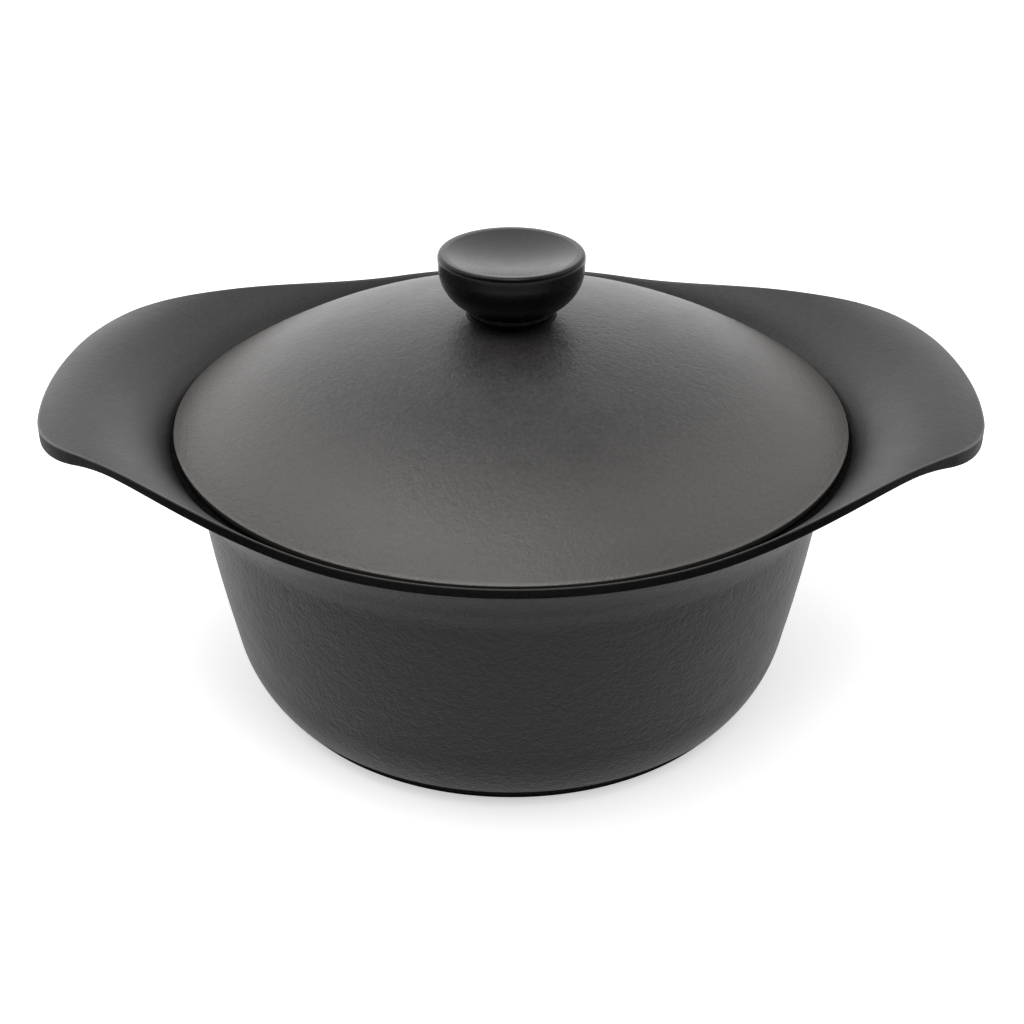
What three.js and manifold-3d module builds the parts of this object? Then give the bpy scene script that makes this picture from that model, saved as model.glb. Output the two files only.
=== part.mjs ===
// A cast iron dutch oven: a round pot whose rim flares out into two wing handles, and a domed lid
// that drops onto a ledge inside the rim. The lid's knob is moulded round a brass insert and is
// held by one screw that comes up through the lid.
// Units are millimetres and +Z is up. The origin is on the table, under the centre of the pot.

import * as THREE from 'three';
import { mergeVertices } from 'three/addons/utils/BufferGeometryUtils.js';
import Module from 'manifold-3d';

const manifold = await Module();
manifold.setup();

// ---- driving dimensions -----------------------------------------------------------------------

const GAP = 0.3;                      // clearance between faces that touch on the real object
const POT_SEGMENTS = 80;
const LID_SEGMENTS = 64;
const KNOB_SEGMENTS = 48;
const SMALL_SEGMENTS = 24;

// pot: foot, tapered wall and floor
const FOOT_RADIUS = 85.3;
const FOOT_HEIGHT = 2.5;
const BODY_BASE_RADIUS = 87.2;        // where the body starts, just outside the foot
const CORNER_TOP_RADIUS = 95.9;       // outside of the wall, where the lower corner ends
const CORNER_TOP_HEIGHT = 23.5;
const WALL_TOP_RADIUS = 103.8;        // outside of the wall, where the flare starts
const WALL_TOP_HEIGHT = 76;
const WALL_THICKNESS = 3;
const FLOOR_THICKNESS = 4;
const FLOOR_RADIUS = 72;              // flat part of the floor
const CORNER_BULGE = 1.5;             // how far each arc of the section stands off its chord
const WALL_BULGE = 0.6;
const FILLET_BULGE = 0.5;
const INNER_CORNER_BULGE = 5.1;

// pot: the flared rim, a surface of revolution whose section is an arc
const FLARE_ARC_RADIUS = 29.8;
const FLARE_CREST_RADIUS = 138.2;     // distance from the axis to the highest circle of the flare
const FLARE_CREST_HEIGHT = 107.2;
const FLARE_ARC_START = 114.4;        // inside this circle the flare runs straight to the ledge
const RIM_THICKNESS = 2.8;            // measured square to the flare
const TIP_THICKENING = 2.3;           // the wing tips are this much thicker than the rim
const TIP_THICKENING_START = 134;
const TIP_THICKENING_END = 147;
const UNDERSIDE_ARC_START = 115.8;    // inside this circle the underside is a plain cone
const CONE_FOOT_RADIUS = 107.4;       // where the cone meets the fillet above the wall
const CONE_FOOT_HEIGHT = 83.2;
const EDGE_BREAK = 0.4;               // small bevel round the rim, the foot and the lid

// pot: plan of the rim, one quarter of it: rim circle, blend arc, straight side of the wing,
// corner arc, and wing end concentric with the pot
const RIM_RADIUS = 119;
const BLEND_ARC_RADIUS = 260;
const WING_SIDE_DISTANCE = 123.9;     // from the axis to the straight side, square to it
const WING_SIDE_ANGLE = THREE.MathUtils.degToRad(52.8);
const WING_CORNER_RADIUS = 46;
const WING_END_RADIUS = 150.8;

// pot: ledge that the lid rests on
const LEDGE_HEIGHT = 91;
const LEDGE_INNER_RADIUS = 103.8;
const LEDGE_OUTER_RADIUS = 111.2;

// lid: dome, rim and the bosses round the screw hole
const LID_RADIUS = 110;
const LID_DRAFT = 0.7;                // the edge of the lid leans in by this much at its foot
const LID_DOME_RADIUS = 195;
const LID_APEX_HEIGHT = 128.5;
const LID_THICKNESS = 3;
const LID_SEAT_INNER_RADIUS = 104.2;
const LID_SEAT_FILLET_RADIUS = 101.5;
const BOSS_RADIUS = 14;
const BOSS_TOP = 129.1;
const BOSS_FILLET = 1;                // the dome stops this far short of each boss
const INNER_BOSS_RADIUS = 9.5;
const INNER_BOSS_HEIGHT = 124.2;
const SCREW_HOLE_RADIUS = 2.85;

// washer between the lid and the knob
const SEAT_WASHER_RADIUS = 13.4;
const SEAT_WASHER_THICKNESS = 0.8;

// knob: a bowl, a nearly upright side, a rounded shoulder, and a dished top inside a flat land
const KNOB_RADIUS = 23.45;            // at the foot of the shoulder
const KNOB_SHOULDER_HEIGHT = 147.4;
const KNOB_SHOULDER_WIDTH = 1.3;
const KNOB_BOWL_TOP_RADIUS = 23.3;    // the side leans in to here, where the bowl starts
const KNOB_BOWL_TOP_HEIGHT = 144.7;
const KNOB_BOWL_RADIUS = 14.5;
const KNOB_TOP = 149.1;
const KNOB_DISH_RADIUS = 20.5;
const KNOB_DISH_DEPTH = 2.9;
const KNOB_DISH_DROP = 0.1;           // the dish's edge is this much below the top

// threaded insert in the knob
const INSERT_RADIUS = 4;
const INSERT_LENGTH = 8.5;
const INSERT_BORE_RADIUS = 2.8;
const INSERT_GROOVE_DEPTH = 0.5;

// screw and its two washers, under the lid
const SCREW_RADIUS = 2.5;
const SCREW_HEAD_RADIUS = 4.7;
const SCREW_HEAD_HEIGHT = 3.3;
const SCREW_CROWN_WIDTH = 1.6;        // the rounded part of the head, across and along the screw
const SCREW_CROWN_HEIGHT = 1.7;
const SCREW_CROWN_BULGE = 0.5;
const SCREW_LENGTH = 15;
const SCREW_POINT_BEVEL = 0.7;
const RECESS_WIDTH = 1.3;
const RECESS_SPAN = 5;
const RECESS_DEPTH = 2;
const FLAT_WASHER_RADIUS = 5.2;
const FLAT_WASHER_THICKNESS = 1;
const SPRING_WASHER_RADIUS = 4.5;
const SPRING_WASHER_THICKNESS = 1.3;
const SPRING_WASHER_SPLIT = THREE.MathUtils.degToRad(16);
const WASHER_BORE_RADIUS = 2.8;

// ---- materials --------------------------------------------------------------------------------

const finish = (color, roughness, metalness) =>
  new THREE.MeshStandardMaterial({ color, roughness, metalness });

const potIron = finish('#3f3d3b', 0.62, 0.35);
const lidIron = finish('#565452', 0.6, 0.35);
const phenolic = finish('#2b2b2d', 0.42, 0);
const steel = finish('#8f9193', 0.35, 0.9);
const darkSteel = finish('#6b6a68', 0.5, 0.8);
const brass = finish('#b08d4a', 0.4, 0.9);

// ---- helpers ----------------------------------------------------------------------------------

const point = (r, z) => new THREE.Vector2(r, z);

// Points of a circular arc from one point to another. A positive bulge is the height of the arc
// to the right of the straight line between them, and a negative one is to its left.
function arc(from, to, bulge, steps) {
  const chord = to.clone().sub(from);
  const half = chord.length() / 2;
  const radius = (half * half + bulge * bulge) / (2 * bulge);
  const right = point(chord.y, -chord.x).normalize();
  const centre = from.clone().add(to).multiplyScalar(0.5).addScaledVector(right, bulge - radius);
  const start = Math.atan2(from.y - centre.y, from.x - centre.x);
  const end = Math.atan2(to.y - centre.y, to.x - centre.x);
  const turn = Math.atan2(Math.sin(end - start), Math.cos(end - start));
  const points = [];
  for (let i = 0; i <= steps; i += 1) {
    const angle = start + turn * i / steps;
    points.push(point(centre.x + Math.abs(radius) * Math.cos(angle),
      centre.y + Math.abs(radius) * Math.sin(angle)));
  }
  return points;
}

const smoothstep = (t) => {
  const s = Math.min(Math.max(t, 0), 1);
  return s * s * (3 - 2 * s);
};

// A solid of revolution about +Z. The profile runs up the outside and down the inside.
function turned(profile, segments) {
  return new THREE.LatheGeometry(profile, segments).rotateX(Math.PI / 2);
}

// A flat ring: bore radius, outer radius, lower and upper face.
function ring(bore, outer, low, high, segments) {
  return turned([point(bore, low), point(outer, low), point(outer, high), point(bore, high),
    point(bore, low)], segments);
}

function named(name, geometry, material) {
  const mesh = new THREE.Mesh(geometry, material);
  mesh.name = name;
  return mesh;
}

function toSolid(geometry) {
  const bare = geometry.clone();
  bare.deleteAttribute('normal');
  bare.deleteAttribute('uv');
  const merged = mergeVertices(bare, 1e-4);
  const vertProperties = new Float32Array(merged.attributes.position.array);
  const triVerts = new Uint32Array(merged.index.array);
  return new manifold.Manifold(new manifold.Mesh({ numProp: 3, vertProperties, triVerts }));
}

function fromSolid(solid) {
  const mesh = solid.getMesh();
  const geometry = new THREE.BufferGeometry();
  geometry.setAttribute('position', new THREE.BufferAttribute(mesh.vertProperties, 3));
  geometry.setIndex(new THREE.BufferAttribute(mesh.triVerts, 1));
  return geometry;
}

// ---- pot --------------------------------------------------------------------------------------

const flareCentreHeight = FLARE_CREST_HEIGHT - FLARE_ARC_RADIUS;

// Height of the flare's upper surface at a distance r from the axis.
function flareTop(r) {
  const across = FLARE_CREST_RADIUS - r;
  return flareCentreHeight + Math.sqrt(FLARE_ARC_RADIUS ** 2 - across ** 2);
}

// Height of its underside, which has the same centre and is lower still at the wing tips.
function flareUnderside(r) {
  const across = FLARE_CREST_RADIUS - r;
  const share = (r - TIP_THICKENING_START) / (TIP_THICKENING_END - TIP_THICKENING_START);
  return flareCentreHeight + Math.sqrt((FLARE_ARC_RADIUS - RIM_THICKNESS) ** 2 - across ** 2)
    - TIP_THICKENING * smoothstep(share);
}

// The edge is square to the flare where the flare still rises, so its upper corner is nearer the
// axis than its lower corner at rimEdge.
function upperCornerRadius(rimEdge) {
  const across = Math.max(FLARE_CREST_RADIUS - rimEdge, 0);
  return rimEdge - across * RIM_THICKNESS / (FLARE_ARC_RADIUS - RIM_THICKNESS);
}

// Distance from the axis to a circle along a ray from the axis, leaving the circle.
function rayToCircle(direction, centre, radius) {
  const along = centre.dot(direction);
  return along + Math.sqrt(radius ** 2 - centre.lengthSq() + along ** 2);
}

const unit = (angle) => point(Math.cos(angle), Math.sin(angle));
const sideNormal = unit(WING_SIDE_ANGLE);
const sideDirection = point(sideNormal.y, -sideNormal.x);

// Blend arc: touches the rim circle on its inside and the straight side of the wing.
const blendOffset = BLEND_ARC_RADIUS - RIM_RADIUS;
const blendEndAngle = WING_SIDE_ANGLE
  + Math.acos((BLEND_ARC_RADIUS - WING_SIDE_DISTANCE) / blendOffset);
const blendCentre = unit(blendEndAngle).multiplyScalar(-blendOffset);
const blendStart = blendCentre.clone().addScaledVector(sideNormal, BLEND_ARC_RADIUS);

// Corner arc: touches the straight side of the wing and the wing end.
const cornerAlong = Math.sqrt((WING_END_RADIUS - WING_CORNER_RADIUS) ** 2
  - (WING_SIDE_DISTANCE - WING_CORNER_RADIUS) ** 2);
const cornerCentre = sideNormal.clone().multiplyScalar(WING_SIDE_DISTANCE - WING_CORNER_RADIUS)
  .addScaledVector(sideDirection, cornerAlong);
const cornerStart = sideNormal.clone().multiplyScalar(WING_SIDE_DISTANCE)
  .addScaledVector(sideDirection, cornerAlong);

// Distance from the axis to the edge of the rim, at an angle from +X.
function rimRadius(angle) {
  const quarter = Math.atan2(Math.abs(Math.sin(angle)), Math.abs(Math.cos(angle)));
  const direction = unit(quarter);
  if (quarter > blendEndAngle) {
    return RIM_RADIUS;
  }
  if (quarter > blendStart.angle()) {
    return rayToCircle(direction, blendCentre, BLEND_ARC_RADIUS);
  }
  if (quarter > cornerStart.angle()) {
    return WING_SIDE_DISTANCE / direction.dot(sideNormal);
  }
  if (quarter > cornerCentre.angle()) {
    return rayToCircle(direction, cornerCentre, WING_CORNER_RADIUS);
  }
  return WING_END_RADIUS;
}

// Points along the flare, from one distance to another, on the surface that height() gives.
function flarePoints(from, to, height, steps) {
  const points = [];
  for (let i = 0; i <= steps; i += 1) {
    const r = from + (to - from) * i / steps;
    points.push(point(r, height(r)));
  }
  return points;
}

// Section of the pot from the axis to the rim's edge and back, where the edge is at rimEdge.
function potSection(rimEdge) {
  const outerWall = [
    point(0, 0),
    point(FOOT_RADIUS - EDGE_BREAK, 0),
    point(FOOT_RADIUS, EDGE_BREAK),
    point(FOOT_RADIUS, FOOT_HEIGHT),
    ...arc(point(BODY_BASE_RADIUS, FOOT_HEIGHT),
      point(CORNER_TOP_RADIUS, CORNER_TOP_HEIGHT), CORNER_BULGE, 5),
    ...arc(point(CORNER_TOP_RADIUS, CORNER_TOP_HEIGHT),
      point(WALL_TOP_RADIUS, WALL_TOP_HEIGHT), WALL_BULGE, 3).slice(1),
    ...arc(point(WALL_TOP_RADIUS, WALL_TOP_HEIGHT),
      point(CONE_FOOT_RADIUS, CONE_FOOT_HEIGHT), -FILLET_BULGE, 3).slice(1),
  ];
  const lowerCorner = point(rimEdge, flareUnderside(rimEdge));
  const upperRadius = upperCornerRadius(rimEdge);
  const upperCorner = point(upperRadius, flareTop(upperRadius));
  const bevel = upperCorner.clone().sub(lowerCorner).setLength(EDGE_BREAK);
  const underside = flarePoints(UNDERSIDE_ARC_START, rimEdge - EDGE_BREAK, flareUnderside, 4);
  const edge = [
    lowerCorner.clone().add(bevel),
    upperCorner.clone().sub(bevel),
  ];
  const top = flarePoints(upperRadius - EDGE_BREAK, FLARE_ARC_START, flareTop, 7);
  const ledge = [
    point(LEDGE_OUTER_RADIUS, LEDGE_HEIGHT),
    point(LEDGE_INNER_RADIUS + EDGE_BREAK, LEDGE_HEIGHT),
    point(LEDGE_INNER_RADIUS, LEDGE_HEIGHT - EDGE_BREAK),
  ];
  const innerWall = [
    ...arc(point(WALL_TOP_RADIUS - WALL_THICKNESS, WALL_TOP_HEIGHT),
      point(CORNER_TOP_RADIUS - WALL_THICKNESS, CORNER_TOP_HEIGHT), -WALL_BULGE, 3),
    ...arc(point(CORNER_TOP_RADIUS - WALL_THICKNESS, CORNER_TOP_HEIGHT),
      point(FLOOR_RADIUS, FLOOR_THICKNESS), -INNER_CORNER_BULGE, 5).slice(1),
    point(0, FLOOR_THICKNESS),
  ];
  return [...outerWall, ...underside, ...edge, ...top, ...ledge, ...innerWall];
}

// Sweeps the section round the axis. Its first and last points lie on the axis.
function potGeometry() {
  const sections = [];
  for (let i = 0; i < POT_SEGMENTS; i += 1) {
    const angle = 2 * Math.PI * i / POT_SEGMENTS;
    const direction = unit(angle);
    sections.push(potSection(rimRadius(angle)).map((p) => (
      new THREE.Vector3(p.x * direction.x, p.x * direction.y, p.y))));
  }
  const triangles = [];
  for (let i = 0; i < POT_SEGMENTS; i += 1) {
    const here = sections[i];
    const next = sections[(i + 1) % POT_SEGMENTS];
    const last = here.length - 1;
    triangles.push(here[0], next[1], here[1]);
    for (let j = 1; j < last - 1; j += 1) {
      triangles.push(here[j], next[j], next[j + 1]);
      triangles.push(here[j], next[j + 1], here[j + 1]);
    }
    triangles.push(here[last - 1], next[last - 1], here[last]);
  }
  return new THREE.BufferGeometry().setFromPoints(triangles);
}

// ---- lid --------------------------------------------------------------------------------------

const domeCentreHeight = LID_APEX_HEIGHT - LID_DOME_RADIUS;

// Height of the dome's outer surface at a distance r from the axis.
const domeTop = (r) => domeCentreHeight + Math.sqrt(LID_DOME_RADIUS ** 2 - r ** 2);

// Height of the dome's inner surface, which has the same centre.
const domeInside = (r) => (
  domeCentreHeight + Math.sqrt((LID_DOME_RADIUS - LID_THICKNESS) ** 2 - r ** 2));

function lidGeometry() {
  const seat = LEDGE_HEIGHT + GAP;
  const profile = [
    point(SCREW_HOLE_RADIUS, INNER_BOSS_HEIGHT),
    point(INNER_BOSS_RADIUS, INNER_BOSS_HEIGHT),
    ...flarePoints(INNER_BOSS_RADIUS + BOSS_FILLET, LID_SEAT_FILLET_RADIUS, domeInside, 6),
    point(LID_SEAT_INNER_RADIUS, seat),
    point(LID_RADIUS - LID_DRAFT, seat),
    point(LID_RADIUS, domeTop(LID_RADIUS) - EDGE_BREAK),
    ...flarePoints(LID_RADIUS - EDGE_BREAK, BOSS_RADIUS + BOSS_FILLET, domeTop, 9),
    point(BOSS_RADIUS, BOSS_TOP - EDGE_BREAK),
    point(BOSS_RADIUS - EDGE_BREAK, BOSS_TOP),
    point(SCREW_HOLE_RADIUS, BOSS_TOP),
    point(SCREW_HOLE_RADIUS, INNER_BOSS_HEIGHT),
  ];
  return turned(profile, LID_SEGMENTS);
}

// ---- knob, its insert and the washer under it -------------------------------------------------

const seatWasherLow = BOSS_TOP + GAP;
const knobBase = seatWasherLow + SEAT_WASHER_THICKNESS + GAP;
const insertLow = knobBase;
const pocketTop = insertLow + INSERT_LENGTH + GAP;

function seatWasherGeometry() {
  return ring(SCREW_HOLE_RADIUS, SEAT_WASHER_RADIUS, seatWasherLow,
    seatWasherLow + SEAT_WASHER_THICKNESS, KNOB_SEGMENTS);
}

function knobGeometry() {
  const bowlAxis = KNOB_BOWL_TOP_RADIUS - KNOB_BOWL_RADIUS;
  const lowest = Math.asin((KNOB_BOWL_TOP_HEIGHT - knobBase) / KNOB_BOWL_RADIUS);
  const bowl = [];
  const bowlSteps = 9;
  for (let i = 0; i <= bowlSteps; i += 1) {
    const angle = lowest * (1 - i / bowlSteps);
    bowl.push(point(bowlAxis + KNOB_BOWL_RADIUS * Math.cos(angle),
      KNOB_BOWL_TOP_HEIGHT - KNOB_BOWL_RADIUS * Math.sin(angle)));
  }
  const shoulder = [];
  const shoulderSteps = 4;
  for (let i = 0; i <= shoulderSteps; i += 1) {
    const angle = Math.PI / 2 * i / shoulderSteps;
    shoulder.push(point(KNOB_RADIUS - KNOB_SHOULDER_WIDTH * (1 - Math.cos(angle)),
      KNOB_SHOULDER_HEIGHT + (KNOB_TOP - KNOB_SHOULDER_HEIGHT) * Math.sin(angle)));
  }
  const dish = [];
  const dishSteps = 6;
  for (let i = 0; i <= dishSteps; i += 1) {
    const r = KNOB_DISH_RADIUS * (1 - i / dishSteps);
    const depth = KNOB_DISH_DEPTH * (1 - (r / KNOB_DISH_RADIUS) ** 2);
    dish.push(point(r, KNOB_TOP - KNOB_DISH_DROP - depth));
  }
  const pocket = [
    point(0, pocketTop),
    point(INSERT_RADIUS + GAP, pocketTop),
    point(INSERT_RADIUS + GAP, knobBase),
  ];
  return turned([...pocket, ...bowl, ...shoulder, ...dish], KNOB_SEGMENTS);
}

function insertGeometry() {
  const groove = INSERT_RADIUS - INSERT_GROOVE_DEPTH;
  const third = INSERT_LENGTH / 3;
  const top = insertLow + INSERT_LENGTH;
  const profile = [
    point(INSERT_BORE_RADIUS, insertLow),
    point(INSERT_RADIUS, insertLow),
    point(INSERT_RADIUS, insertLow + third),
    point(groove, insertLow + third + INSERT_GROOVE_DEPTH),
    point(groove, top - third - INSERT_GROOVE_DEPTH),
    point(INSERT_RADIUS, top - third),
    point(INSERT_RADIUS, top),
    point(INSERT_BORE_RADIUS, top),
    point(INSERT_BORE_RADIUS, insertLow),
  ];
  return turned(profile, SMALL_SEGMENTS);
}

// ---- screw and washers under the lid ----------------------------------------------------------

const flatWasherTop = INNER_BOSS_HEIGHT - GAP;
const springWasherTop = flatWasherTop - FLAT_WASHER_THICKNESS - GAP;
const headTop = springWasherTop - SPRING_WASHER_THICKNESS - GAP;

function flatWasherGeometry() {
  return ring(WASHER_BORE_RADIUS, FLAT_WASHER_RADIUS, flatWasherTop - FLAT_WASHER_THICKNESS,
    flatWasherTop, SMALL_SEGMENTS);
}

// A split lock washer: a ring with one narrow cut through it.
function springWasherGeometry() {
  const start = SPRING_WASHER_SPLIT / 2;
  const end = 2 * Math.PI - start;
  const outline = new THREE.Shape();
  outline.absarc(0, 0, SPRING_WASHER_RADIUS, start, end, false);
  outline.absarc(0, 0, WASHER_BORE_RADIUS, end, start, true);
  outline.closePath();
  const geometry = new THREE.ExtrudeGeometry(outline, {
    depth: SPRING_WASHER_THICKNESS,
    bevelEnabled: false,
    curveSegments: SMALL_SEGMENTS,
  });
  return geometry.translate(0, 0, springWasherTop - SPRING_WASHER_THICKNESS);
}

// A pan head screw with a cross recess in its head.
function screwGeometry() {
  const headLow = headTop - SCREW_HEAD_HEIGHT;
  const shankTop = headTop + SCREW_LENGTH;
  const crownStart = point(SCREW_HEAD_RADIUS - SCREW_CROWN_WIDTH, headLow);
  const crownEnd = point(SCREW_HEAD_RADIUS, headLow + SCREW_CROWN_HEIGHT);
  const blank = toSolid(turned([
    point(0, headLow),
    ...arc(crownStart, crownEnd, SCREW_CROWN_BULGE, 3),
    point(SCREW_HEAD_RADIUS, headTop),
    point(SCREW_RADIUS, headTop),
    point(SCREW_RADIUS, shankTop - SCREW_POINT_BEVEL),
    point(SCREW_RADIUS - SCREW_POINT_BEVEL, shankTop),
    point(0, shankTop),
  ], SMALL_SEGMENTS));
  const cutDepth = RECESS_DEPTH * 2;
  const across = new THREE.BoxGeometry(RECESS_SPAN, RECESS_WIDTH, cutDepth);
  const along = new THREE.BoxGeometry(RECESS_WIDTH, RECESS_SPAN, cutDepth);
  const recess = toSolid(across).add(toSolid(along)).translate([0, 0, headLow]);
  return fromSolid(blank.subtract(recess));
}

// ---- the object -------------------------------------------------------------------------------

const dutchOven = new THREE.Group();
dutchOven.add(named('pot_body', potGeometry(), potIron));
dutchOven.add(named('lid', lidGeometry(), lidIron));
dutchOven.add(named('knob_seat_washer', seatWasherGeometry(), darkSteel));
dutchOven.add(named('lid_knob', knobGeometry(), phenolic));
dutchOven.add(named('knob_insert', insertGeometry(), brass));
dutchOven.add(named('flat_washer', flatWasherGeometry(), steel));
dutchOven.add(named('spring_washer', springWasherGeometry(), steel));
dutchOven.add(named('knob_screw', screwGeometry(), steel));

export default dutchOven;
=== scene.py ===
"""A cast iron dutch oven: its fine surfaces, materials, floor, light and camera.

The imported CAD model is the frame. Every piece here replaces one CAD node, in the same place and
inside the same box. Lengths are millimetres in the tables of dimensions and metres in the scene.
"""

import math

import bpy
from mathutils import Matrix, Vector, noise


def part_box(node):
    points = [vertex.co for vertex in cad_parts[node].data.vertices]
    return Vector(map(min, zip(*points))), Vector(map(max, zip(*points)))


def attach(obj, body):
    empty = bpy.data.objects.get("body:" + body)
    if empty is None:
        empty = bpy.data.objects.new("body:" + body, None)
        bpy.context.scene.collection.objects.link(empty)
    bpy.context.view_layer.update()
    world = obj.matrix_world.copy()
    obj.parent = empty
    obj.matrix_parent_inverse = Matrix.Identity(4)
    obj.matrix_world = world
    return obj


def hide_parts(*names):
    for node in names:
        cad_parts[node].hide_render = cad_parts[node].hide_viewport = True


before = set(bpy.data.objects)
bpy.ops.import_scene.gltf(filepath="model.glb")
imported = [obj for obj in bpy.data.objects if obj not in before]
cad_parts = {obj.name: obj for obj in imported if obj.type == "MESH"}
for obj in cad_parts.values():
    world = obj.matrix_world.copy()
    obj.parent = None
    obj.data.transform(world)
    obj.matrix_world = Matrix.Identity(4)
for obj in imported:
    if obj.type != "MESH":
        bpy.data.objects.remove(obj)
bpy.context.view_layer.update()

MM = 0.001

# ---- dimensions, in millimetres ------------------------------------------------------------------


def box_mm(node):
    """Lowest and highest corner of a CAD node, in millimetres."""
    low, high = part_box(node)
    return low / MM, high / MM


POT_LOW, POT_HIGH = box_mm("pot_body")
LID_LOW, LID_HIGH = box_mm("lid")
KNOB_LOW, KNOB_HIGH = box_mm("lid_knob")
INSERT_LOW, INSERT_HIGH = box_mm("knob_insert")
_, SEAT_HIGH = box_mm("knob_seat_washer")
FLAT_LOW, FLAT_HIGH = box_mm("flat_washer")
SPRING_LOW, SPRING_HIGH = box_mm("spring_washer")
SCREW_LOW, SCREW_HIGH = box_mm("knob_screw")

# pot: foot, wall and floor
FOOT_RADIUS = 85.3
FOOT_HEIGHT = 2.5
FOOT_EDGE_FILLET = 0.7
PAINTED_SHADE_BAND_HEIGHT = 5.7               # painted shade: the wall is near-black up to here, as the photo's shaded foot is
BODY_BASE_RADIUS = 87.2
CORNER_TOP = (95.9, 23.5)
WALL_TOP = (103.8, 76.0)
WALL_THICKNESS = 3.0
FLOOR_THICKNESS = 4.0
FLOOR_RADIUS = 72.0
CONE_FOOT = (107.4, 83.2)
CORNER_BULGE = 1.5
WALL_BULGE = 0.6
FILLET_BULGE = 0.5
INNER_CORNER_BULGE = 5.1

# pot: flare of the rim and the wings
FLARE_ARC_RADIUS = 29.8
FLARE_CREST_RADIUS = 138.2
FLARE_CREST_HEIGHT = POT_HIGH.z
FLARE_ARC_START = 114.4
RIM_THICKNESS = 2.8                   # measured square to the flare
RIM_LOWER_FILLET = 0.4
RIM_UPPER_FILLET = 0.3
PALE_LINE_WIDTH = 0.6                 # of the pale line on the rim's upper corner: wear and a painted highlight
TIP_THICKENING = 2.3                  # the wing tips are this much thicker than the rim
TIP_THICKENING_START = 134.0
TIP_THICKENING_END = 147.0
UNDERSIDE_ARC_START = 115.8
RIM_RADIUS = 118.8
BLEND_ARC_RADIUS = 260.0
WING_SIDE_DISTANCE = 123.9
WING_SIDE_ANGLE = math.radians(52.8)
WING_CORNER_RADIUS = 46.0
WING_END_RADIUS = POT_HIGH.x
LEDGE_HEIGHT = 91.0
LEDGE_INNER_RADIUS = 103.8
LEDGE_OUTER_RADIUS = 111.2

# lid
LID_RADIUS = LID_HIGH.x
LID_DRAFT = 0.7
LID_DOME_RADIUS = 195.0
LID_APEX_HEIGHT = 128.5
LID_THICKNESS = 3.0
LID_SEAT_INNER_RADIUS = 104.2
LID_SEAT_FILLET_RADIUS = 101.5
BOSS_RADIUS = 14.0
BOSS_DEPTH = 2.0
INNER_BOSS_RADIUS = 9.5
INNER_BOSS_HEIGHT = 124.2
SCREW_HOLE_RADIUS = 2.85
# painted highlight on the lid's outer dome, growing from the first radius to full at the second
PAINTED_HIGHLIGHT_START_RADIUS = 62.0
PAINTED_HIGHLIGHT_FULL_RADIUS = 102.0

# knob
KNOB_RADIUS = KNOB_HIGH.x
KNOB_SHOULDER_HEIGHT = 147.4
KNOB_SHOULDER_WIDTH = 1.3
KNOB_BOWL_TOP_RADIUS = 23.3
KNOB_BOWL_TOP_HEIGHT = 144.7
KNOB_BOWL_RADIUS = 14.5
KNOB_DISH_RADIUS = 20.5
KNOB_DISH_DEPTH = 2.9
KNOB_DISH_DROP = 0.1
POCKET_CLEARANCE = 0.3                # round the insert
BOWL_STEPS = 40
SIDE_STEPS = 3
SHOULDER_STEPS = 16

# what holds the knob
WASHER_BORE_RADIUS = 2.8
SEAT_WASHER_BORE_RADIUS = 2.85
SEAT_BITE = 0.02                      # the seat washer goes this far into the lid and the knob
THREAD_RADIUS = 2.5
THREAD_PITCH = 0.8
THREAD_DEPTH = 0.3
SCREW_HEAD_HEIGHT = 3.3
KNURL_TEETH = 24

# camera, fitted to the photograph's circles and outlines
CAMERA_PLACE = (0.0004, -0.481, 0.3315)
CAMERA_LENS = 56.85
CAMERA_SENSOR = 36.0
CAMERA_DOWN_DEGREES = 29.92
CAMERA_ROLL_DEGREES = 0.2

# floor and backdrop
FLOOR_HALF_WIDTH = 12.0
FLOOR_DROP = 5e-5                     # metres below the foot, so that the two don't flicker
FLOOR_WHITE = 0.86
FLOOR_GLOW = 0.55
BACKDROP_BRIGHTNESS = 1.0

# ---- profiles ------------------------------------------------------------------------------------


def smoothstep(t):
    s = min(max(t, 0.0), 1.0)
    return s * s * (3 - 2 * s)


def arc(start, end, bulge, steps):
    """Points of an arc. A positive bulge is its height to the right of the line from start to end."""
    a, b = Vector(start), Vector(end)
    chord = b - a
    half = chord.length / 2
    radius = (half * half + bulge * bulge) / (2 * bulge)
    right = Vector((chord.y, -chord.x)).normalized()
    centre = (a + b) / 2 + right * (bulge - radius)
    first = math.atan2(a.y - centre.y, a.x - centre.x)
    last = math.atan2(b.y - centre.y, b.x - centre.x)
    turn = math.atan2(math.sin(last - first), math.cos(last - first))
    angles = [first + turn * i / steps for i in range(steps + 1)]
    size = abs(radius)
    return [(centre.x + size * math.cos(t), centre.y + size * math.sin(t), 0.0) for t in angles]


def along(start, end, height, steps):
    """Points of the curve z = height(r), from one distance to another."""
    distances = [start + (end - start) * i / steps for i in range(steps + 1)]
    return [(r, height(r), 0.0) for r in distances]


def filleted(corners, steps=5):
    """The outline through (r, z, fillet radius) points, with each fillet as an arc."""
    points = []
    count = len(corners)
    for i, (r, z, size) in enumerate(corners):
        here = Vector((r, z))
        if size == 0 or i in (0, count - 1):
            points.append((r, z))
            continue
        back = Vector(corners[i - 1][:2]) - here
        ahead = Vector(corners[i + 1][:2]) - here
        half_angle = back.angle(ahead) / 2
        reach = min(size / math.tan(half_angle), 0.48 * back.length, 0.48 * ahead.length)
        start = here + back.normalized() * reach
        end = here + ahead.normalized() * reach
        for k in range(steps + 1):
            t = k / steps
            curve = start * (1 - t) ** 2 + here * 2 * t * (1 - t) + end * t ** 2
            points.append((curve.x, curve.y))
    return points


# ---- meshes --------------------------------------------------------------------------------------


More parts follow.
